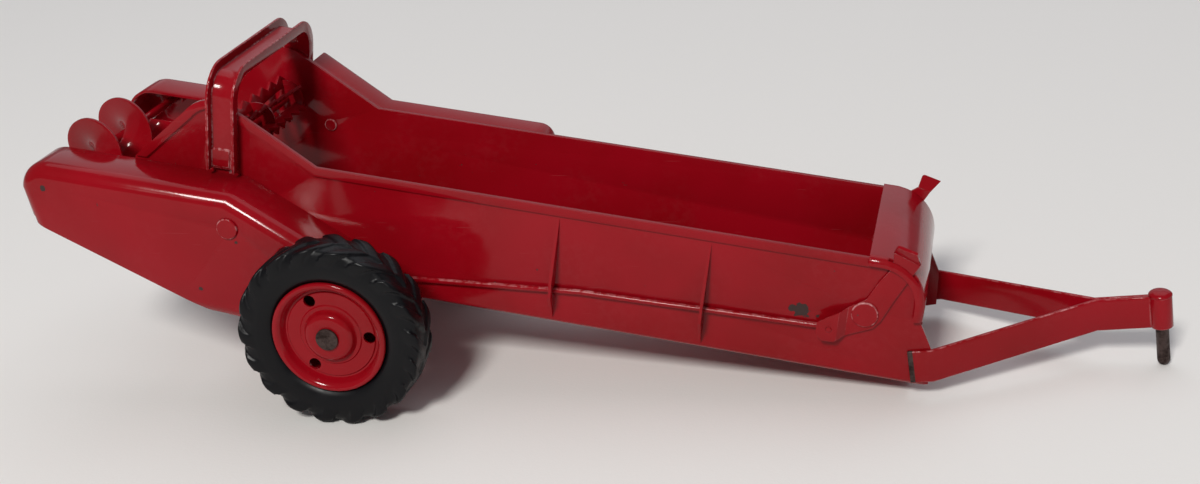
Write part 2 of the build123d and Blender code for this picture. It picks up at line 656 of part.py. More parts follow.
with BuildPart() as lever:
    with BuildSketch(Plane.XZ.offset(arm_in - 1)):
        with BuildLine():
            Polyline(*[(pivot_x + x, pivot_z + z) for x, z in lever_line], close=True)
        make_face()
    extrude(amount=lever_stand + sheet + 2)
    # the plate is jogged, so that its rear lobe stands off the side
    with BuildSketch(Plane.XY.offset(pivot_z - box_h), mode=Mode.PRIVATE) as jog:
        with BuildLine():
            near = -arm_in
            far = -arm_in - lever_stand
            step_front, step_rear = pivot_x + lever_jog[0], pivot_x + lever_jog[1]
            Polyline((nose_x, near), (step_front, near), (step_rear, far), (rim_front - box_h, far),
                     (rim_front - box_h, far - sheet), (step_rear - sheet / 2, far - sheet),
                     (step_front - sheet / 2, near - sheet), (nose_x, near - sheet), close=True)
        make_face()
    add(extrude(jog.sketch, amount=2 * box_h, mode=Mode.PRIVATE), mode=Mode.INTERSECT)
    with Locations(Location((pivot_x, -arm_in, pivot_z), (90, 0, 0))):
        Cylinder(shaft_r + run_gap, 4 * sheet, mode=Mode.SUBTRACT)
    with Locations(Location((lobe_x, -arm_in - lever_stand, lobe_z), (90, 0, 0))):
        Cylinder(rod_r + run_gap, 4 * sheet, mode=Mode.SUBTRACT)
    # its top is bent outwards along the last edge of the plate
    with BuildSketch(FLAP):
        Rectangle(fold_w, flap, align=(Align.MIN, Align.MIN))
    extrude(amount=sheet)
    corners = lever.edges().filter_by(lambda e: abs(e.length - sheet) < run_gap).group_by(Axis.Z)[-1]
    fillet(corners, sheet)
finish(lever, "lever_right")
finish(lever, "lever_left", flip)

with BuildPart() as pivot:
    with Locations(Location((pivot_x, -(side_in + arm_out) / 2, pivot_z), (90, 0, 0))):
        Cylinder(shaft_r, arm_out - side_in)
    with Locations(Location((pivot_x, -arm_out - pivot_head_h / 2, pivot_z), (90, 0, 0))):
        Cylinder(pivot_head_r, pivot_head_h)
    with Locations(Location((pivot_x, -side_in + pivot_tail_h / 2, pivot_z), (90, 0, 0))):
        Cylinder(pivot_tail_r, pivot_tail_h)
    fillet(pivot.faces().sort_by(Axis.Y)[0].edges(), head_round)
finish(pivot, "pivot_right")
finish(pivot, "pivot_left", flip)

# ---- Rods -----------------------------------------------------------------------------------------
rod_y = -(box_half_w + lay_gap + rod_r)
with BuildPart() as rod:
    with BuildLine():
        path = FilletPolyline((rod_rear_x, rod_y, rod_rear_z), (rod_bend_x, rod_y, rod_bend_z),
                              (lobe_x, rod_y, lobe_z),
                              (lobe_x, -arm_out - lever_stand - end_gap, lobe_z), radius=rod_round)
    with BuildSketch(Plane(origin=path @ 0, z_dir=path % 0)):
        Circle(rod_r)
    sweep(path=path)
finish(rod, "rod_right")
finish(rod, "rod_left", flip)

# ---- Tongue ---------------------------------------------------------------------------------------
half_in = box_half_w
half_out = half_in + strap_t
pinch = lay_gap
strap_turn = math.atan2(half_out - pinch - strap_t, strap_meet)
shift = strap_t * math.tan(strap_turn / 2)
with BuildPart() as tongue:
    with BuildSketch(TONGUE):
        with BuildLine():
            Polyline((-strap_lap, half_out), (0, half_out), (strap_meet, pinch + strap_t),
                     (pin_at, pinch + strap_t), (pin_at, -pinch - strap_t),
                     (strap_meet, -pinch - strap_t), (0, -half_out), (-strap_lap, -half_out),
                     close=True)
        make_face()
        with Locations((pin_at, 0)):
            Circle(loop_r + strap_t)
        with BuildLine():
            Polyline((-strap_lap - 1, half_in), (-shift, half_in), (strap_meet - shift, pinch),
                     (pin_at, pinch), (pin_at, -pinch), (strap_meet - shift, -pinch),
                     (-shift, -half_in), (-strap_lap - 1, -half_in), close=True)
        make_face(mode=Mode.SUBTRACT)
        with Locations((pin_at, 0)):
            Circle(loop_r, mode=Mode.SUBTRACT)
    extrude(amount=strap_h / 2, both=True)
finish(tongue, "tongue")

# ---- Hitch pin ------------------------------------------------------------------------------------
pin_seat = strap_h / 2
pin_neck = -strap_h / 2 - pin_swell
pin_end = -strap_h / 2 - pin_drop
head_top = pin_seat + pin_head_h
head_edge = pin_seat + pin_head_edge
with BuildPart() as hitch_pin:
    with BuildSketch(Plane.XZ):
        with BuildLine():
            Line((0, pin_end), (0, head_top))
            ThreePointArc((0, head_top), (pin_head_r * 0.7, (head_top * 3 + head_edge) / 4),
                          (pin_head_r, head_edge))
            Polyline((pin_head_r, head_edge), (pin_head_r, pin_seat), (pin_r + pin_swell, pin_seat),
                     (pin_r + pin_swell, -pin_seat), (pin_r, pin_neck), (pin_r, pin_end + pin_r))
            CenterArc((0, pin_end + pin_r), pin_r, -90, 90)
        make_face()
    revolve(axis=Axis.Z)
finish(hitch_pin, "hitch_pin", lambda shape: TONGUE.location * Pos(pin_at, 0, 0) * shape)
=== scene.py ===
"""Finishes of the toy manure spreader: worn enamel, darkened steel and black rubber.

Most pieces are copies of their solids with rounded edges and a painted finish. The wheels are spun and the
tyres moulded anew in their solids' places, and the toy stands on a plain pale floor in soft studio light.
"""
import json
import math

import bpy
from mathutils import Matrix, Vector

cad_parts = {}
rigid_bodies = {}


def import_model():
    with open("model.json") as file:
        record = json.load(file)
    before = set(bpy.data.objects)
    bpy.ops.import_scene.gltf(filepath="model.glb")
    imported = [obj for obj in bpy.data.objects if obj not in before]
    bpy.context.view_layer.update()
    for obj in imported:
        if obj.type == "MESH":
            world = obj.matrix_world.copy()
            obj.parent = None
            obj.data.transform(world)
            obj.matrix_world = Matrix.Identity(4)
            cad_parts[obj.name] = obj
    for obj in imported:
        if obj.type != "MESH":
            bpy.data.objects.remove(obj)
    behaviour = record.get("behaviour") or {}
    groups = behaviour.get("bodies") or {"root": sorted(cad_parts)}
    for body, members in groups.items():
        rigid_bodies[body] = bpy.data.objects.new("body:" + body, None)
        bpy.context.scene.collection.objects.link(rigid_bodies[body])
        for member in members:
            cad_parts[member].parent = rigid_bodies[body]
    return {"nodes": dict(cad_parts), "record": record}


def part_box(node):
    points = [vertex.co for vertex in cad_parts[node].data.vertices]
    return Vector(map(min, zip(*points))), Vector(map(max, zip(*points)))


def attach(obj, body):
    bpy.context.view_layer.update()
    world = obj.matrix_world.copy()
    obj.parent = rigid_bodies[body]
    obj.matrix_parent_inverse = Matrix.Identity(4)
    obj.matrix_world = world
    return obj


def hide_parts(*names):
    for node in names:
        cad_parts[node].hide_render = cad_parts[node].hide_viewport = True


bl_info = {
    "name": "Toy manure spreader",
    "version": (1, 0, 0),
    "blender": (4, 5, 0),
    "location": "View3D > Sidebar > Spreader",
    "description": "Builds the finished pieces of a pressed-steel toy manure spreader",
    "category": "Object",
}

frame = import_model()
NODES = frame["nodes"]
BODY_OF = {node: body for body, nodes in frame["record"]["behaviour"]["bodies"].items() for node in nodes}
SLOT_OF = {part["node"]: part["material_slot"] for part in frame["record"]["subparts"]}
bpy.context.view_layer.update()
MM = 0.001


# ---- Colours and nodes ----------------------------------------------------------------------------
def linear(code):
    """A colour given as sRGB hex, as linear values."""
    parts = [int(code[n:n + 2], 16) / 255 for n in (1, 3, 5)]
    return tuple(c / 12.92 if c <= 0.04045 else ((c + 0.055) / 1.055) ** 2.4 for c in parts) + (1.0,)


def add_node(tree, kind, settings=None, links=None):
    """Add one shader node, set its properties and sockets, and link what comes into it."""
    made = tree.nodes.new("ShaderNode" + kind)
    for name, value in (settings or {}).items():
        if isinstance(name, int) or name in made.inputs:
            made.inputs[name].default_value = value
        else:
            setattr(made, name, value)
    for name, source in (links or {}).items():
        tree.links.new(source, made.inputs[name])
    return made


def new_material(name):
    """An empty node material, its tree and its Principled shader."""
    material = bpy.data.materials.new(name)
    material.use_nodes = True
    tree = material.node_tree
    tree.nodes.clear()
    shader = add_node(tree, "BsdfPrincipled")
    add_node(tree, "OutputMaterial", links={"Surface": shader.outputs["BSDF"]})
    return material, tree, shader


# ---- Settings -------------------------------------------------------------------------------------
class SpreaderFinish(bpy.types.PropertyGroup):
    """Colours and wear of the toy's finishes"""
    enamel: bpy.props.FloatVectorProperty(
        name="Enamel", description="Colour of the enamel", subtype="COLOR", size=4,
        default=linear("#920817"), min=0, max=1)
    enamel_dark: bpy.props.FloatVectorProperty(
        name="Aged enamel", description="Colour of the enamel where it has darkened", subtype="COLOR",
        size=4, default=linear("#82070f"), min=0, max=1)
    # the pale of rubbed edges is partly real wear and partly a painted highlight along the folds
    worn_edge_and_highlight: bpy.props.FloatVectorProperty(
        name="Rubbed edge", description="Colour of enamel rubbed pale along folds", subtype="COLOR",
        size=4, default=linear("#c88a8c"), min=0, max=1)
    chip: bpy.props.FloatVectorProperty(
        name="Chip", description="Colour of the darkened steel in a chip", subtype="COLOR", size=4,
        default=linear("#3b2a28"), min=0, max=1)
    steel: bpy.props.FloatVectorProperty(
        name="Steel", description="Colour of the bare, darkened steel", subtype="COLOR", size=4,
        default=linear("#4b3d3a"), min=0, max=1)
    rust: bpy.props.FloatVectorProperty(
        name="Rust", description="Colour of the rust on bare steel", subtype="COLOR", size=4,
        default=linear("#2b1d19"), min=0, max=1)
    rubber: bpy.props.FloatVectorProperty(
        name="Rubber", description="Colour of the tyres", subtype="COLOR", size=4,
        default=linear("#060609"), min=0, max=1)
    dust: bpy.props.FloatVectorProperty(
        name="Dust", description="Colour of the dust in the tread", subtype="COLOR", size=4,
        default=linear("#1c1b1f"), min=0, max=1)
    # the most that a fold is painted pale: rubbed enamel, and in part a painted highlight
    wear: bpy.props.FloatProperty(
        name="Wear", description="How much enamel is rubbed off the edges", subtype="FACTOR",
        default=0.72, min=0, max=1)


class SpreaderSizes(bpy.types.PropertyGroup):
    """Sizes of the shapes that the finish adds"""
    fold: bpy.props.FloatProperty(
        name="Fold", description="Width of the rounding along folded sheet edges", unit="LENGTH",
        default=0.32 * MM, min=0.02 * MM, max=0.4 * MM)
    turned: bpy.props.FloatProperty(
        name="Turned edge", description="Width of the rounding on rivets, discs and pins", unit="LENGTH",
        default=0.24 * MM, min=0.02 * MM, max=0.4 * MM)
    tread_grain: bpy.props.FloatProperty(
        name="Tread grain", description="Mesh width of the moulded tyres", unit="LENGTH",
        default=0.4 * MM, min=0.3 * MM, max=1.0 * MM)
    bars: bpy.props.IntProperty(
        name="Tread bars", description="Number of bars on each shoulder of a tyre", default=18, min=8, max=30)
    groove: bpy.props.FloatProperty(
        name="Groove", description="Angle of the groove between two bars", subtype="ANGLE",
        default=math.radians(2.4), min=0, max=math.radians(6))


# ---- Materials ------------------------------------------------------------------------------------
# Patterns, by how often they repeat in a metre: 1000 over the size of one patch in mm, given beside each
TONE = 25.0                         # 40 mm: enamel that has darkened with age
RUB = 420.0                         # 2.4 mm: one rubbed patch
RUB_REACH = 45.0                    # 22 mm: how far rubbing goes along a fold
SCRATCHES = (60.0, 1500.0, 2600.0)  # 17 mm long along x, 0.7 mm wide along y and 0.4 mm along z
SPECKS = 330.0                      # 3 mm apart: small chips
RAGGED = 700.0                      # 1.4 mm: the outline of a large chip
SMEAR = 160.0                       # 6 mm: the marks of handling in the gloss
SHEET_WAVE = 34.0                   # 29 mm: the pressed sheet's waviness
ORANGE_PEEL = 900.0                 # 1.1 mm: the sprayed coat's skin
BLOOM = 380.0                       # 2.6 mm: rust on bare steel
PITS = 1500.0                       # 0.7 mm: pits in rusted steel
DUST = 200.0                        # 5 mm: dust on rubber
MOULD_GRAIN = 1100.0                # 0.9 mm: the mould's grain, coarser than the real one so that it shows
THREADS = 900.0                     # 1.1 mm: the cloth's threads
# Chips that have their own places, as columns: x, y, z and radius, all in mm
CHIPS = (
    (-170.1, -47.0, 73.2, 1.1),
    (-121.4, -47.0, 39.2, 0.7),
    (-106.4, -47.0, 55.5, 0.6),
    (68.2, -29.5, 29.0, 2.6),
    (65.4, -29.5, 29.6, 1.3),
    (73.0, -29.5, 27.2, 0.8),
    (77.5, -29.5, 45.0, 0.5),
    (78.6, -29.5, 42.4, 0.6),
    (59.2, -29.5, 46.3, 0.5),
)
CHIP_REACH = 1.7                    # how far a chip would reach without noise, as a share of its radius
CHIP_RAGGED = 1.6                   # what the noise, which is about a half, takes off that, as such a share
# Shallow dents, in the same columns
DENTS = (
    (-101.2, -47.0, 75.2, 4.0),
    (-60.0, -47.0, 52.0, 9.0),
    (20.0, -29.5, 40.0, 16.0),
    (120.0, -29.5, 30.0, 18.0),
)


def enamel_on_steel(finish, name, least, most):
    """Alkyd enamel sprayed and baked on pressed steel, rubbed from the least to the most given, 0 to 1.

    Baked enamel is glossy with a faint orange peel, and the sheet under it is a little wavy, so long
    reflections wobble. Decades of play rub its folds pale and chip it down to dark steel; the pale
    along the folds is in part a painted highlight.
    """
    material, tree, shader = new_material(name)
    place = add_node(tree, "TexCoord").outputs["Object"]
    # slow change of tone
    cloud = add_node(tree, "TexNoise", {"Scale": TONE, "Detail": 3.0}, {"Vector": place}).outputs["Fac"]
    tone = add_node(tree, "MapRange", {"From Min": 0.35, "From Max": 0.7}, {"Value": cloud}).outputs[0]
    colour = add_node(tree, "Mix", {"data_type": "RGBA", 6: finish.enamel, 7: finish.enamel_dark},
                      {0: tone}).outputs[2]
    # rubbing, partly painted highlight: close pale patches on the folds, and faint ones here and there on the
    # faces
    cloud = add_node(tree, "TexNoise", {"Scale": RUB, "Detail": 4.0, "Roughness": 0.65},
                     {"Vector": place}).outputs["Fac"]
    patch = add_node(tree, "MapRange", {"From Min": 0.44, "From Max": 0.6}, {"Value": cloud}).outputs[0]
    cloud = add_node(tree, "TexNoise", {"Scale": RUB_REACH, "Detail": 2.0}, {"Vector": place}).outputs["Fac"]
    reach = add_node(tree, "MapRange", {"From Min": 0.46, "From Max": 0.64, "To Min": least, "To Max": most},
                     {"Value": cloud}).outputs[0]
    rubbed = add_node(tree, "Math", {"operation": "MULTIPLY"}, {0: patch, 1: reach}).outputs[0]
    colour = add_node(tree, "Mix", {"data_type": "RGBA", 7: finish.worn_edge_and_highlight},
                      {0: rubbed, 6: colour}).outputs[2]
    # fine scratches, roughly along the toy
    run = add_node(tree, "Mapping", {"Scale": SCRATCHES, "Rotation": (0.0, 0.12, 0.3)},
                   {"Vector": place}).outputs["Vector"]
    hair = add_node(tree, "TexNoise", {"Scale": 1.0, "Detail": 1.0}, {"Vector": run}).outputs["Fac"]
    hair = add_node(tree, "MapRange", {"From Min": 0.77, "From Max": 0.8, "To Max": 0.1},
                    {"Value": hair}).outputs[0]
    colour = add_node(tree, "Mix", {"data_type": "RGBA", 7: finish.worn_edge_and_highlight},
                      {0: hair, 6: colour}).outputs[2]
    # chips: a few specks under 1 mm across, down to dark steel, and the larger ones in their places
    cloud = add_node(tree, "TexNoise", {"Scale": SPECKS, "Detail": 5.0, "Roughness": 0.6},
                     {"Vector": place}).outputs["Fac"]
    chips = add_node(tree, "MapRange", {"From Min": 0.735, "From Max": 0.745}, {"Value": cloud}).outputs[0]
    ragged = add_node(tree, "TexNoise", {"Scale": RAGGED, "Detail": 3.0}, {"Vector": place}).outputs["Fac"]
    for x, y, z, radius in CHIPS:
        away = add_node(tree, "VectorMath", {"operation": "DISTANCE", 1: (x * MM, y * MM, z * MM)},
                        {0: place}).outputs["Value"]
        away = add_node(tree, "Math", {"operation": "MULTIPLY_ADD", 1: CHIP_RAGGED * radius * MM},
                        {0: ragged, 2: away}).outputs[0]
        chip = add_node(tree, "Math", {"operation": "LESS_THAN", 1: CHIP_REACH * radius * MM},
                        {0: away}).outputs[0]
        chips = add_node(tree, "Math", {"operation": "MAXIMUM"}, {0: chips, 1: chip}).outputs[0]
    colour = add_node(tree, "Mix", {"data_type": "RGBA", 7: finish.chip},
                      {0: chips, 6: colour}).outputs[2]
    tree.links.new(colour, shader.inputs["Base Color"])
    # gloss: clear on whole enamel, dull where it is rubbed or chipped
    smear = add_node(tree, "TexNoise", {"Scale": SMEAR, "Detail": 4.0}, {"Vector": place}).outputs["Fac"]
    gloss = add_node(tree, "MapRange", {"From Min": 0.3, "From Max": 0.7, "To Min": 0.09, "To Max": 0.17},
                     {"Value": smear}).outputs[0]
    damage = add_node(tree, "Math", {"operation": "MAXIMUM"}, {0: rubbed, 1: chips}).outputs[0]
    dull = add_node(tree, "Math", {"operation": "MULTIPLY_ADD", 1: 0.3}, {0: damage, 2: gloss}).outputs[0]
    tree.links.new(dull, shader.inputs["Roughness"])
    # relief: wavy sheet, orange peel, dents, and hollows where the enamel is gone
    wave = add_node(tree, "TexNoise", {"Scale": SHEET_WAVE, "Detail": 1.0}, {"Vector": place}).outputs["Fac"]
    relief = add_node(tree, "Bump", {"Strength": 0.3, "Distance": 0.5 * MM}, {"Height": wave}).outputs[0]
    peel = add_node(tree, "TexNoise", {"Scale": ORANGE_PEEL, "Detail": 2.0}, {"Vector": place}).outputs["Fac"]
    relief = add_node(tree, "Bump", {"Strength": 0.15, "Distance": 0.03 * MM},
                      {"Height": peel, "Normal": relief}).outputs[0]
    for x, y, z, radius in DENTS:
        away = add_node(tree, "VectorMath", {"operation": "DISTANCE", 1: (x * MM, y * MM, z * MM)},
                        {0: place}).outputs["Value"]
        bowl = add_node(tree, "MapRange", {"interpolation_type": "SMOOTHSTEP", "From Max": radius * MM},
                        {"Value": away}).outputs[0]
        relief = add_node(tree, "Bump", {"Strength": 0.8, "Distance": 0.5 * MM},
                          {"Height": bowl, "Normal": relief}).outputs[0]
    relief = add_node(tree, "Bump", {"Strength": 0.6, "Distance": 0.12 * MM, "invert": True},
                      {"Height": damage, "Normal": relief}).outputs[0]
    tree.links.new(relief, shader.inputs["Normal"])
    # an old coat reflects about half of what a new one does
    shader.inputs["Specular IOR Level"].default_value = 0.23
    return material


def darkened_steel(finish):
    """Mild steel wire and bar, drawn, with a brown bloom of old rust.

    Drawn steel is dull grey where hands keep it clean, and rust darkens it unevenly.
    """
    material, tree, shader = new_material("darkened_mild_steel")
    place = add_node(tree, "TexCoord").outputs["Object"]
    cloud = add_node(tree, "TexNoise", {"Scale": BLOOM, "Detail": 6.0, "Roughness": 0.7},
                     {"Vector": place}).outputs["Fac"]
    bloom = add_node(tree, "MapRange", {"From Min": 0.42, "From Max": 0.62}, {"Value": cloud}).outputs[0]
    colour = add_node(tree, "Mix", {"data_type": "RGBA", 6: finish.steel, 7: finish.rust},
                      {0: bloom}).outputs[2]
    tree.links.new(colour, shader.inputs["Base Color"])
    shader.inputs["Metallic"].default_value = 0.7
    rough = add_node(tree, "MapRange", {"To Min": 0.42, "To Max": 0.75}, {"Value": bloom}).outputs[0]
    tree.links.new(rough, shader.inputs["Roughness"])
    pits = add_node(tree, "TexNoise", {"Scale": PITS, "Detail": 4.0}, {"Vector": place}).outputs["Fac"]
    relief = add_node(tree, "Bump", {"Strength": 0.4, "Distance": 0.06 * MM}, {"Height": pits}).outputs[0]
    tree.links.new(relief, shader.inputs["Normal"])
    return material


def moulded_rubber(finish):
    """Black natural rubber, moulded, with dust in its low places.

    Moulded rubber has a soft sheen on the sidewall and is matt and dusty in the tread.
    """
    material, tree, shader = new_material("moulded_black_rubber")
    place = add_node(tree, "TexCoord").outputs["Object"]
    sharp = add_node(tree, "NewGeometry").outputs["Pointiness"]
    hollow = add_node(tree, "MapRange", {"From Min": 0.42, "From Max": 0.5, "To Min": 1.0, "To Max": 0.0},
                      {"Value": sharp}).outputs[0]
    cloud = add_node(tree, "TexNoise", {"Scale": DUST, "Detail": 5.0, "Roughness": 0.6},
                     {"Vector": place}).outputs["Fac"]
    cloud = add_node(tree, "MapRange", {"From Min": 0.4, "From Max": 0.7, "To Min": 0.15},
                     {"Value": cloud}).outputs[0]
    dusty = add_node(tree, "Math", {"operation": "MULTIPLY"}, {0: hollow, 1: cloud}).outputs[0]
    film = add_node(tree, "Math", {"operation": "MULTIPLY_ADD", 1: 0.06}, {0: cloud, 2: dusty}).outputs[0]
    colour = add_node(tree, "Mix", {"data_type": "RGBA", 6: finish.rubber, 7: finish.dust},
                      {0: film}).outputs[2]
    tree.links.new(colour, shader.inputs["Base Color"])
    shader.inputs["Specular IOR Level"].default_value = 0.22
    sheen = add_node(tree, "MapRange", {"To Min": 0.34, "To Max": 0.5}, {"Value": cloud}).outputs[0]
    tree.links.new(sheen, shader.inputs["Roughness"])
    grain = add_node(tree, "TexNoise", {"Scale": MOULD_GRAIN, "Detail": 5.0},
                     {"Vector": place}).outputs["Fac"]
    relief = add_node(tree, "Bump", {"Strength": 0.25, "Distance": 0.06 * MM}, {"Height": grain}).outputs[0]
    tree.links.new(relief, shader.inputs["Normal"])
    return material


def cotton_floor():
    """Plain pale cotton cloth, spread flat: matt, with an even grain of threads."""
    material, tree, shader = new_material("pale_cotton_cloth")
    place = add_node(tree, "TexCoord").outputs["Object"]
    shader.inputs["Base Color"].default_value = linear("#eceae7")
    shader.inputs["Roughness"].default_value = 0.95
    threads = add_node(tree, "TexNoise", {"Scale": THREADS, "Detail": 2.0}, {"Vector": place}).outputs["Fac"]
    relief = add_node(tree, "Bump", {"Strength": 0.2, "Distance": 0.2 * MM}, {"Height": threads}).outputs[0]
    tree.links.new(relief, shader.inputs["Normal"])
    return material


FACE, FOLD = 0, 1                   # a piece's materials: on its faces, and on its folds
FACE_RUB = 0.012                    # the most that a plain face is rubbed, from 0 to 1
FOLD_RUB = 0.24                     # the least that a fold is painted pale: rubbing, and in part a painted highlight
MATERIALS = {}


def finish_for(slot):
    """The materials for the faces and the folds of a record's slot, or of the rivets, made once."""
    if slot not in MATERIALS:
        finish = bpy.context.scene.spreader_finish
        if slot == "red_enamel":
            MATERIALS[slot] = (
                enamel_on_steel(finish, "baked_red_enamel_on_pressed_steel", 0.0, FACE_RUB),
                enamel_on_steel(finish, "baked_red_enamel_rubbed_and_highlit_on_folds", FOLD_RUB, finish.wear))
        elif slot == "red_rivet":
            # rivet rims are painted pale to the full: rubbing, and a painted highlight line
            made = enamel_on_steel(finish, "baked_red_enamel_rubbed_and_highlit_on_rivets", finish.wear, 1.0)
            MATERIALS[slot] = (finish_for("red_enamel")[FACE], made)
        else:
            made = {"bare_steel": darkened_steel, "black_rubber": moulded_rubber}[slot](finish)
            MATERIALS[slot] = (made, made)
    return MATERIALS[slot]


# ---- Work on any piece ----------------------------------------------------------------------------
WELD = 0.002 * MM                   # corners of a CAD node's triangles nearer than this are one corner
LEVEL = 0.5                         # triangles that bend by less than this, in degrees, are one face


def only(piece):
    """Select this one object and make it active."""
    if bpy.context.mode != "OBJECT":
        bpy.ops.object.mode_set(mode="OBJECT")
    bpy.ops.object.select_all(action="DESELECT")
    piece.select_set(True)
    bpy.context.view_layer.objects.active = piece


def copy_of(node, name):
    """A loose copy of a CAD node, with the corners of its triangles merged."""
    only(NODES[node])
    bpy.ops.object.duplicate()
    piece = bpy.context.active_object
    bpy.ops.object.parent_clear(type="CLEAR_KEEP_TRANSFORM")
    for tag in [key for key in piece.keys() if key.startswith("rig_")]:
        del piece[tag]
    piece.name = name
    piece.data.name = name
    bpy.ops.object.mode_set(mode="EDIT")
    bpy.ops.mesh.select_all(action="SELECT")
    bpy.ops.mesh.remove_doubles(threshold=WELD)
    bpy.ops.object.mode_set(mode="OBJECT")
    return piece


def painted(piece, slot):
    """Give a piece the slot's two materials: all its faces have the first, and its folds take the second."""
    piece.data.materials.clear()
    for material in finish_for(slot):
        piece.data.materials.append(material)


def hand_over(piece, node):
    """Give a finished piece its body, and hide the node that it stands for."""
    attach(piece, BODY_OF[node])
    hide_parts(node)


def rounded(piece, width, flat, smooth, material=-1):
    """Round a piece's edges that bend by more than flat, and shade it smooth where it bends less than smooth.

    Both angles are in degrees. The rounding takes the material of this number, or with -1 that of the faces
    beside it.
    """
    rounding = piece.modifiers.new("rounding", "BEVEL")
    rounding.material = material
    rounding.width = width
    rounding.segments = 2
    rounding.limit_method = "ANGLE"
    rounding.angle_limit = math.radians(flat)
    bpy.ops.object.modifier_apply(modifier="rounding")
    bpy.ops.object.shade_smooth_by_angle(angle=math.radians(smooth))


def rolled_edges(node, name, width, flat=30.0, shape=None, finish=None):
    """A copy of a pressed or turned piece, reshaped where need be, with its sharp edges rounded a little."""
    piece = copy_of(node, name)
    if shape:
        shape(piece)
    bpy.ops.object.mode_set(mode="EDIT")
    bpy.ops.mesh.select_all(action="SELECT")
    bpy.ops.mesh.dissolve_limited(angle_limit=math.radians(LEVEL))
    bpy.ops.object.mode_set(mode="OBJECT")
    bpy.ops.mesh.customdata_custom_splitnormals_clear()
    painted(piece, finish or SLOT_OF[node])
    rounded(piece, width, flat, smooth=flat + 10, material=FOLD)
    hand_over(piece, node)
    return piece


def near(piece, test):
    """Select the vertices of a piece that pass this test on their place, and go into edit mode."""
    only(piece)
    bpy.ops.object.mode_set(mode="EDIT")
    bpy.ops.mesh.select_mode(type="VERT")
    bpy.ops.mesh.select_all(action="DESELECT")
    bpy.ops.object.mode_set(mode="OBJECT")
    for vertex in piece.data.vertices:
        vertex.select = test(vertex.co)
    bpy.ops.object.mode_set(mode="EDIT")


def also_painted(piece, material, test):
    """Give a piece one more material, on the faces whose middles pass this test."""
    piece.data.materials.append(material)
    for face in piece.data.polygons:
        if test(face.center):
            face.material_index = len(piece.data.materials) - 1


def cut_out(piece, punch):
    """Cut the shape of a punch out of a piece, and delete the punch."""
    only(piece)
    cut = piece.modifiers.new("cut", "BOOLEAN")
    cut.operation = "DIFFERENCE"
    cut.solver = "EXACT"
    cut.object = punch
    bpy.ops.object.modifier_apply(modifier="cut")
    only(punch)
    bpy.ops.object.delete()
    only(piece)


# ---- Wheels and tyres -----------------------------------------------------------------------------
# In the tables below, a place is given by how far in from the tyre's outer face it lies and by its radius
TREAD_MIDDLE = 6.0                  # mm from the tyre's outer face in to the middle of its tread
# Half of a tyre's section, from the lip at the rim to the middle of the tread, as columns: in and radius,
# both in mm
CARCASS = (
    (TREAD_MIDDLE, 16.9), (1.3, 16.9), (1.3, 18.6), (0.5, 19.1), (-0.15, 20.1), (-0.6, 21.5), (-0.85, 23.2),
    (-0.8, 24.8), (-0.5, 26.4), (-0.1, 27.8), (0.6, 28.8), (2.4, 29.2), (4.2, 29.2), (TREAD_MIDDLE, 29.2),
)
# One tread bar, from the middle of the tread over the shoulder and down the sidewall, as columns: in and
# radius of its foot, the same of its crest, all in mm, and how far it runs ahead in degrees
BAR = (
    (TREAD_MIDDLE, 28.4, TREAD_MIDDLE, 30.02, 20.0),
    (4.2, 28.4, 4.2, 30.02, 16.5),
    (2.6, 28.3, 2.4, 30.02, 13.0),
    (1.6, 28.1, 0.9, 30.01, 9.8),
    (0.9, 27.7, -0.4, 29.85, 7.2),
    (0.3, 26.6, -1.1, 29.5, 4.6),
    (0.0, 25.4, -1.3, 28.1, 2.2),
    (-0.2, 24.5, -1.1, 26.0, 0.7),
    (-0.3, 23.8, -0.9, 24.8, 0.0),
)
# Round a bar, from its front edge over its crest to its rear, as shares: of its width, and of its height
BAR_CREST = ((0.0, 0.85), (0.18, 1.0), (0.55, 0.85), (1.0, 0.4))
BAR_FOOT = (1.0, 0.5, 0.0)          # shares of its width on the way back, inside the carcass
BAR_ROOT = 0.6                      # mm that a bar's foot is set into the carcass
# Section of a pressed wheel, from its bore over the hub's cup, the disc and the lip to the barrel and back,
# as columns: in and radius, both in mm
WHEEL = (
    (-0.6, 2.05), (-0.6, 4.6), (-0.5, 6.2), (-0.25, 7.1), (0.2, 7.7), (0.9, 8.05), (1.7, 8.3), (2.1, 8.7),
    (2.1, 9.8), (2.5, 10.2), (2.5, 14.2), (2.9, 14.6), (2.9, 15.1), (1.6, 15.7), (0.5, 16.2), (-0.2, 16.9),
    (-0.5, 17.6), (-0.35, 18.2), (0.0, 18.5), (0.85, 18.5), (0.9, 16.7), (12.0, 16.7), (12.0, 18.5),
    (12.9, 18.5), (12.9, 15.8), (3.6, 15.8), (3.6, 14.2), (3.3, 13.9), (3.3, 9.9), (2.9, 8.0), (1.7, 7.4),
    (0.8, 6.8), (0.4, 6.0), (0.4, 3.4), (13.0, 3.4), (13.0, 2.05),
)
HOLES = 3                           # round holes in a wheel's disc
HOLE_RADIUS = 1.95                  # mm
HOLE_AT = (2.9, 12.5)               # in and radius of a hole's middle, in mm
HOLE_DEPTH = 3.0                    # mm, deep enough to go through the disc
HOLE_TURN = -3.4                    # the first hole's angle above the line forward, in degrees
WHEEL_STEPS = 96                    # flats round a wheel
TYRE_STEPS = 144                    # flats round a tyre
SEAM = 0.01 * MM                    # points nearer than this are merged where a spun shape closes
AXLE = (0.0, 1.0, 0.0)              # the wheels turn about this direction
AXLE_ROUND = 0.7                    # share of the usual rounding that keeps the axle clear of the wheels


def hub_of(tyre):
    """The middle of a tyre, and 1 or -1 for the side of the toy that it is on."""
    low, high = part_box(tyre)
    hub = Vector([a + b for a, b in zip(low, high)]) / 2
    return hub, 1 if hub.y > 0 else -1


def spot(hub, out, inset, radius, turn=0.0):
    """A place on a wheel, by its inset from the tyre's outer face, its radius and its turn round the axle."""
    face = hub.y + out * TREAD_MIDDLE * MM
    return (hub.x + radius * MM * math.cos(turn), face - out * inset * MM,
            hub.z + radius * MM * math.sin(turn))


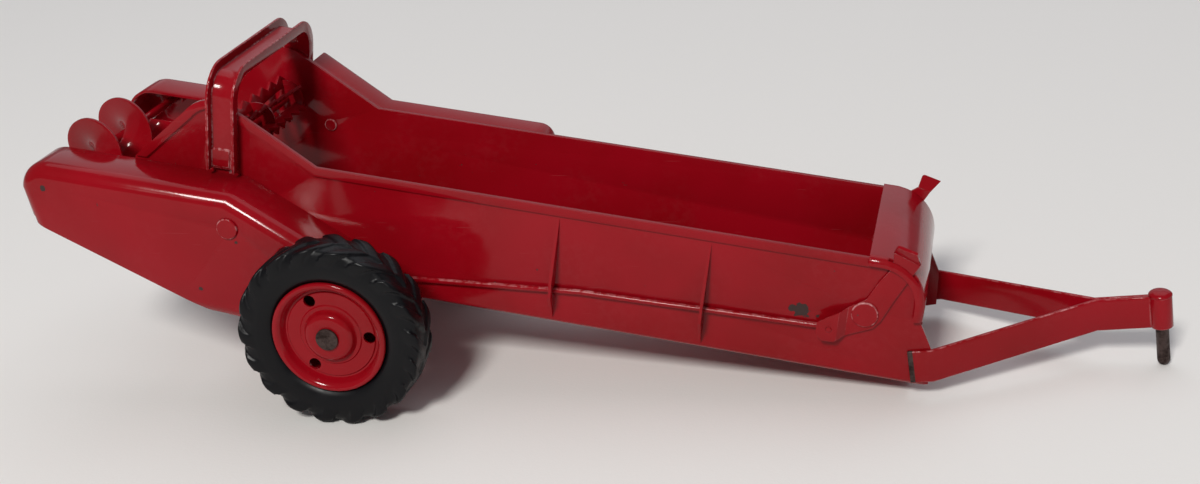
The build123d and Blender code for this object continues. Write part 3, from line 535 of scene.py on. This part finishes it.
def wire(points, name):
    """A line of edges through these points, drawn on from a single vertex."""
    bpy.ops.object.select_all(action="DESELECT")
    bpy.ops.mesh.primitive_plane_add(size=MM, location=(0.0, 0.0, 0.0))
    line = bpy.context.active_object
    line.name = name
    bpy.ops.object.mode_set(mode="EDIT")
    bpy.ops.mesh.select_all(action="SELECT")
    bpy.ops.mesh.merge(type="CENTER")
    bpy.ops.transform.translate(value=points[0])
    for start, end in zip(points, points[1:]):
        bpy.ops.mesh.extrude_vertices_move(
            TRANSFORM_OT_translate={"value": [b - a for a, b in zip(start, end)]})
    bpy.ops.object.mode_set(mode="OBJECT")
    return line


def joined(pieces):
    """Join these objects into the first one."""
    only(pieces[0])
    for piece in pieces:
        piece.select_set(True)
    bpy.ops.object.join()
    return bpy.context.active_object


def spun(section, hub, steps):
    """Spin a section right round a wheel's axle and merge it where it meets, and stay in edit mode."""
    only(section)
    bpy.ops.object.mode_set(mode="EDIT")
    bpy.ops.mesh.select_all(action="SELECT")
    bpy.ops.mesh.spin(steps=steps, angle=math.tau, center=hub, axis=AXLE)
    bpy.ops.mesh.select_all(action="SELECT")
    bpy.ops.mesh.remove_doubles(threshold=SEAM)


def pressed_wheel(node, tyre, name, sizes):
    """A pressed wheel: its section spun round the axle, round holes cut, and the cut edges rolled."""
    hub, out = hub_of(tyre)
    wheel = wire([spot(hub, out, *place) for place in WHEEL + WHEEL[:1]], name)
    spun(wheel, hub, WHEEL_STEPS)
    bpy.ops.mesh.normals_make_consistent(inside=False)
    bpy.ops.object.mode_set(mode="OBJECT")
    for n in range(HOLES):
        turn = math.radians(HOLE_TURN + n * 360 / HOLES)
        bpy.ops.object.select_all(action="DESELECT")
        bpy.ops.mesh.primitive_cylinder_add(
            vertices=40, radius=HOLE_RADIUS * MM, depth=HOLE_DEPTH * MM, rotation=(math.pi / 2, 0.0, 0.0),
            location=spot(hub, out, *HOLE_AT, turn))
        cut_out(wheel, bpy.context.active_object)
    painted(wheel, SLOT_OF[node])
    rounded(wheel, sizes.turned / 2, flat=50.0, smooth=45.0)
    hand_over(wheel, node)


def moulded_tyre(node, name, sizes):
    """A tyre with swept bars: a carcass spun round the axle and bars bridged, repeated and moulded on."""
    hub, out = hub_of(node)
    # carcass: half the section, spun right round, and mirrored later at the middle of the tread
    carcass = wire([spot(hub, out, *place) for place in CARCASS], name)
    spun(carcass, hub, TYRE_STEPS)
    bpy.ops.object.mode_set(mode="OBJECT")
    # one bar: rows along its crest, from its front edge to its rear, and back along its foot
    step = math.tau / sizes.bars
    width = step - sizes.groove
    rows = [[spot(hub, out, low_in + (top_in - low_in) * height, low_r + (top_r - low_r) * height,
                  across * width - math.radians(ahead)) for low_in, low_r, top_in, top_r, ahead in BAR]
            for across, height in BAR_CREST]
    rows += [[spot(hub, out, low_in + BAR_ROOT, low_r - BAR_ROOT, across * width - math.radians(ahead))
              for low_in, low_r, _, _, ahead in BAR] for across in BAR_FOOT]
    bar = joined([wire(row, name + "_bar") for row in rows])
    # bridged row by row, closed at both ends, and repeated round the carcass
    bpy.ops.object.mode_set(mode="EDIT")
    bpy.ops.mesh.select_all(action="SELECT")
    bpy.ops.mesh.bridge_edge_loops(type="CLOSED")
    bpy.ops.mesh.select_all(action="DESELECT")
    bpy.ops.mesh.select_non_manifold()
    bpy.ops.mesh.fill()
    bpy.ops.mesh.select_all(action="SELECT")
    bpy.ops.mesh.normals_make_consistent(inside=False)
    bpy.ops.mesh.spin(steps=sizes.bars, dupli=True, angle=math.tau, center=hub, axis=AXLE)
    bpy.ops.object.mode_set(mode="OBJECT")
    tyre = joined([carcass, bar])
    # the other shoulder is the mirror image, half a bar further round
    bpy.ops.object.mode_set(mode="EDIT")
    bpy.ops.mesh.select_all(action="SELECT")
    bpy.ops.mesh.duplicate()
    bpy.ops.transform.resize(value=(1.0, -1.0, 1.0), center_override=hub)
    bpy.ops.transform.rotate(value=step / 2, orient_axis="Y", center_override=hub)
    bpy.ops.mesh.select_all(action="SELECT")
    bpy.ops.mesh.remove_doubles(threshold=SEAM)
    bpy.ops.mesh.normals_make_consistent(inside=False)
    bpy.ops.object.mode_set(mode="OBJECT")
    # the whole is moulded into one skin, a little soft at its edges
    skin = tyre.modifiers.new("skin", "REMESH")
    skin.mode = "VOXEL"
    skin.voxel_size = sizes.tread_grain
    bpy.ops.object.modifier_apply(modifier="skin")
    soften = tyre.modifiers.new("soften", "SMOOTH")
    soften.factor = 0.5
    soften.iterations = 2
    bpy.ops.object.modifier_apply(modifier="soften")
    bpy.ops.object.shade_smooth()
    painted(tyre, SLOT_OF[node])
    hand_over(tyre, node)


# ---- Small reshapings -----------------------------------------------------------------------------
PARK = math.radians(8.9001)         # the box parks nose low by this angle
PARK_AT = (-89.910, 34.578)         # x and z in mm of its own origin, on its floor under the rear kink
LEVER_HANDLE = 5.0                  # height in mm of a lever's bent handle
LEVER_LEAN = {"right": (-2.0, 0.0, 1.8), "left": (1.8, 0.0, -1.0)}    # how far each is moved, in mm
PIN_HEAD = 2.9                      # height in mm of the hitch pin's head
PIN_FLAT = 0.62                     # share of its height that the head keeps
STRAP_CUT = 1.6                     # mm cut off the straps' rear ends
STRAP_BARE = 3.2                    # mm from the straps' old rear ends to where their paint starts
STRAP_RUN = (0.9952, 0.0, 0.0976)   # direction of the straps' sides
# What is cut out inside the front panel's flanges, in mm in the box's own frame: from rear to front and low
# to top, its middle and its width to the side, and the radius of its upper front corner
FLANGE_CUT = {"rear": 150.0, "front": 190.6, "low": 5.0, "top": 38.1, "side": 32.6, "width": 7.0,
              "corner": 11.9}
RIVET_FLAT = 0.97                   # a rivet's flat head faces the side at least this squarely
ROD_HIGHLIT_TOP = 0.5                       # a rod is painted pale where it faces up more than this: rubbing, and a painted highlight along its top


def rubbed_and_highlit_rim(rivet):
    """Paint a rivet's flat head pale all round its rim: rubbed enamel, and a painted highlight line."""
    for face in rivet.data.polygons:
        if abs(face.normal.y) < RIVET_FLAT:
            face.material_index = FOLD


def rubbed_and_highlit_top(rod):
    """Paint a rod pale along its top: rubbed enamel, and a painted highlight where the light falls on it."""
    for face in rod.data.polygons:
        face.material_index = FOLD if face.normal.z > ROD_HIGHLIT_TOP else FACE


def leaned(lever, side):
    """Move a lever's handle a little, and leave its foot."""
    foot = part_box("lever_" + side)[1][2] - LEVER_HANDLE * MM
    near(lever, lambda place: place.z > foot)
    bpy.ops.transform.translate(value=[step * MM for step in LEVER_LEAN[side]])
    bpy.ops.object.mode_set(mode="OBJECT")


def head_foot():
    """The height of the underside of the hitch pin's head."""
    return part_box("hitch_pin")[1][2] - PIN_HEAD * MM


def low_head(pin):
    """Flatten the pin's rivet head."""
    foot = head_foot()
    near(pin, lambda place: place.z > foot)
    bpy.ops.transform.resize(value=(1.0, 1.0, PIN_FLAT), center_override=(0.0, 0.0, foot))
    bpy.ops.object.mode_set(mode="OBJECT")


def sliced(straps, cut, **clear):
    """Cut across the straps so many mm ahead of the tongue's rear end."""
    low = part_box("tongue")[0]
    only(straps)
    bpy.ops.object.mode_set(mode="EDIT")
    bpy.ops.mesh.select_all(action="SELECT")
    bpy.ops.mesh.bisect(plane_co=(low[0] + cut * MM, 0.0, low[2]), plane_no=STRAP_RUN, **clear)
    bpy.ops.object.mode_set(mode="OBJECT")


def shortened(straps):
    """Shear the rear ends of the straps off a little further forward."""
    sliced(straps, STRAP_CUT, use_fill=True, clear_inner=True)


def parked(x, y, z):
    """A point of the box's own frame, in mm, as it stands parked, in metres."""
    cos, sin = math.cos(PARK), math.sin(PARK)
    return Vector((x * cos + z * sin + PARK_AT[0], y, z * cos - x * sin + PARK_AT[1])) * MM


def trimmed_flanges(panel):
    """Cut the front panel's two side flanges back to a narrow band along its outline."""
    rear, front, low, top = (FLANGE_CUT[end] for end in ("rear", "front", "low", "top"))
    for side in (-1, 1):
        bpy.ops.object.select_all(action="DESELECT")
        bpy.ops.mesh.primitive_cube_add(
            size=1.0, rotation=(0.0, PARK, 0.0),
            location=parked((rear + front) / 2, side * FLANGE_CUT["side"], (low + top) / 2),
            scale=((front - rear) * MM, FLANGE_CUT["width"] * MM, (top - low) * MM))
        punch = bpy.context.active_object
        bpy.ops.object.transform_apply(location=False, rotation=False, scale=True)
        bpy.ops.object.mode_set(mode="EDIT")
        bpy.ops.mesh.select_all(action="DESELECT")
        bpy.ops.object.mode_set(mode="OBJECT")
        for edge in punch.data.edges:
            ends = [punch.data.vertices[n].co for n in edge.vertices]
            edge.select = all(end.x > 0 and end.z > 0 for end in ends)
        bpy.ops.object.mode_set(mode="EDIT")
        bpy.ops.mesh.select_mode(type="EDGE")
        bpy.ops.mesh.bevel(offset=FLANGE_CUT["corner"] * MM, segments=16)
        bpy.ops.mesh.select_mode(type="VERT")
        bpy.ops.object.mode_set(mode="OBJECT")
        cut_out(panel, punch)


# ---- Operators ------------------------------------------------------------------------------------
class SPREADER_OT_box(bpy.types.Operator):
    """Finish the box, its front panel and the arch"""
    bl_idname = "spreader.box"
    bl_label = "Box"

    def execute(self, context):
        fold = context.scene.spreader_sizes.fold
        rolled_edges("tub", "box_with_hemmed_rim", fold)
        rolled_edges("front_panel", "front_panel_with_flanges", fold, shape=trimmed_flanges)
        rolled_edges("arch", "arch_channel", fold)
        return {"FINISHED"}


class SPREADER_OT_covers(bpy.types.Operator):
    """Finish the two covers and the studs that hold them"""
    bl_idname = "spreader.covers"
    bl_label = "Covers"

    def execute(self, context):
        sizes = context.scene.spreader_sizes
        for side in ("right", "left"):
            rolled_edges("cover_" + side, side + "_drive_cover", sizes.fold)
            rubbed_and_highlit_rim(rolled_edges("stud_" + side, side + "_cover_stud", sizes.turned,
                                    finish="red_rivet"))
        return {"FINISHED"}


class SPREADER_OT_wheels(bpy.types.Operator):
    """Finish the steel wheels and axle, and mould the tyres"""
    bl_idname = "spreader.wheels"
    bl_label = "Wheels"

    def execute(self, context):
        sizes = context.scene.spreader_sizes
        for side in ("right", "left"):
            pressed_wheel("rim_" + side, "tyre_" + side, side + "_steel_wheel", sizes)
            moulded_tyre("tyre_" + side, side + "_tyre", sizes)
        rolled_edges("axle", "axle_with_peened_ends", AXLE_ROUND * sizes.turned)
        return {"FINISHED"}


class SPREADER_OT_rotors(bpy.types.Operator):
    """Finish the toothed beater and the distributor"""
    bl_idname = "spreader.rotors"
    bl_label = "Rotors"

    def execute(self, context):
        # both are cut from sheet, and a cut edge is sharper than a fold
        cut_edge = context.scene.spreader_sizes.fold / 2
        rolled_edges("beater", "toothed_beater", cut_edge)
        rolled_edges("distributor", "distributor_flight", cut_edge)
        return {"FINISHED"}


class SPREADER_OT_controls(bpy.types.Operator):
    """Finish the levers, their pivots and the rods"""
    bl_idname = "spreader.controls"
    bl_label = "Levers and rods"

    def execute(self, context):
        sizes = context.scene.spreader_sizes
        for side in ("right", "left"):
            rolled_edges("lever_" + side, side + "_lever", sizes.turned,
                         shape=lambda lever: leaned(lever, side))
            rubbed_and_highlit_rim(rolled_edges("pivot_" + side, side + "_lever_pivot", sizes.turned,
                                    finish="red_rivet"))
            rubbed_and_highlit_top(rolled_edges("rod_" + side, side + "_rod", sizes.turned))
        return {"FINISHED"}


class SPREADER_OT_hitch(bpy.types.Operator):
    """Finish the tongue and its hitch pin"""
    bl_idname = "spreader.hitch"
    bl_label = "Tongue and pin"

    def execute(self, context):
        sizes = context.scene.spreader_sizes
        tongue = rolled_edges("tongue", "tongue_straps", sizes.fold, flat=55.0, shape=shortened)
        # the straps' rear ends take the darkened steel material, a dark band as far as STRAP_BARE
        sliced(tongue, STRAP_BARE)
        paint_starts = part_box("tongue")[0][0] + STRAP_BARE * MM
        also_painted(tongue, finish_for("bare_steel")[FACE], lambda place: place.x < paint_starts)
        # the pin is bare but for its head, which was sprayed together with the straps
        pin = rolled_edges("hitch_pin", "hitch_pin_with_round_tip", sizes.turned, shape=low_head)
        foot = head_foot()
        also_painted(pin, finish_for("red_enamel")[FACE], lambda place: place.z > foot)
        return {"FINISHED"}


FLOOR = 8.0                         # the floor's side in metres
# The soft lights, as columns: name, place, the point that it faces, and width and height, all in metres, then
# power in watts and colour
LIGHTS = (
    ("key_softbox", (-0.22, -1.9, 1.78), (0.0, 0.0, 0.0), (0.5, 0.5), 50.0, "#fffdf9"),
    ("rear_softbox", (0.0, 1.9, 1.05), (0.0, 0.2, 0.0), (3.0, 1.2), 5.0, "#f6f8ff"),
    ("top_softbox", (0.1, 1.0, 2.3), (0.0, 0.0, 0.0), (2.4, 2.0), 16.0, "#f8f9ff"),
)
ROOM_COLOUR = "#e3e4ea"
ROOM_LIGHT = 0.22                   # strength of the light from all round
CAMERA_PLACE = (0.12865, -0.4931, 0.25246)      # metres
CAMERA_TURN = (67.0913, 4.3439, 12.8934)        # degrees about x, y and z
CAMERA_LENS = 50.555                # focal length in mm, on a sensor 36 mm wide


def soft_light(name, place, aim, size, power, colour):
    """A large rectangular area light that faces a point."""
    bpy.ops.object.light_add(type="AREA", location=place)
    lamp = bpy.context.active_object
    lamp.name = name
    lamp.data.shape = "RECTANGLE"
    lamp.data.size, lamp.data.size_y = size
    lamp.data.energy = power
    lamp.data.color = linear(colour)[:3]
    lamp.rotation_euler = (Vector(aim) - Vector(place)).to_track_quat("-Z", "Y").to_euler()
    return lamp


class SPREADER_OT_stage(bpy.types.Operator):
    """Set the pale floor, the soft lights and the camera"""
    bl_idname = "spreader.stage"
    bl_label = "Stage"

    def execute(self, context):
        bpy.ops.object.select_all(action="DESELECT")
        bpy.ops.mesh.primitive_plane_add(size=FLOOR, location=(0.0, 0.0, 0.0))
        floor = context.active_object
        floor.name = "cloth_floor"
        floor.data.materials.append(cotton_floor())
        lights = [soft_light(*light) for light in LIGHTS]
        sky = bpy.data.worlds.new("pale_room")
        sky.use_nodes = True
        glow = sky.node_tree.nodes["Background"]
        glow.inputs["Color"].default_value = linear(ROOM_COLOUR)
        glow.inputs["Strength"].default_value = ROOM_LIGHT
        context.scene.world = sky
        context.scene.view_settings.view_transform = "Standard"
        context.scene.view_settings.look = "None"
        bpy.ops.object.camera_add(location=CAMERA_PLACE, rotation=[math.radians(a) for a in CAMERA_TURN])
        camera = context.active_object
        camera.name = "camera"
        camera.data.sensor_width = 36.0
        camera.data.lens = CAMERA_LENS
        context.scene.camera = camera
        return {"FINISHED"}


class SPREADER_PT_panel(bpy.types.Panel):
    """Settings and pieces of the toy spreader"""
    bl_label = "Toy manure spreader"
    bl_idname = "SPREADER_PT_panel"
    bl_space_type = "VIEW_3D"
    bl_region_type = "UI"
    bl_category = "Spreader"

    def draw(self, context):
        for group in (context.scene.spreader_finish, context.scene.spreader_sizes):
            for name in group.__annotations__:
                self.layout.prop(group, name)
        for step in STEPS:
            self.layout.operator(step.bl_idname)


STEPS = (SPREADER_OT_box, SPREADER_OT_covers, SPREADER_OT_wheels, SPREADER_OT_rotors,
         SPREADER_OT_controls, SPREADER_OT_hitch, SPREADER_OT_stage)
CLASSES = (SpreaderFinish, SpreaderSizes, *STEPS, SPREADER_PT_panel)


def register():
    """Make the settings, the operators and the panel known."""
    for kind in CLASSES:
        bpy.utils.register_class(kind)
    bpy.types.Scene.spreader_finish = bpy.props.PointerProperty(type=SpreaderFinish)
    bpy.types.Scene.spreader_sizes = bpy.props.PointerProperty(type=SpreaderSizes)


def unregister():
    """Take them away again."""
    del bpy.types.Scene.spreader_sizes
    del bpy.types.Scene.spreader_finish
    for kind in reversed(CLASSES):
        bpy.utils.unregister_class(kind)


def main():
    """Run every operator in order."""
    register()
    for step in STEPS:
        group, name = step.bl_idname.split(".")
        getattr(getattr(bpy.ops, group), name)()


if __name__ == "__main__":
    main()
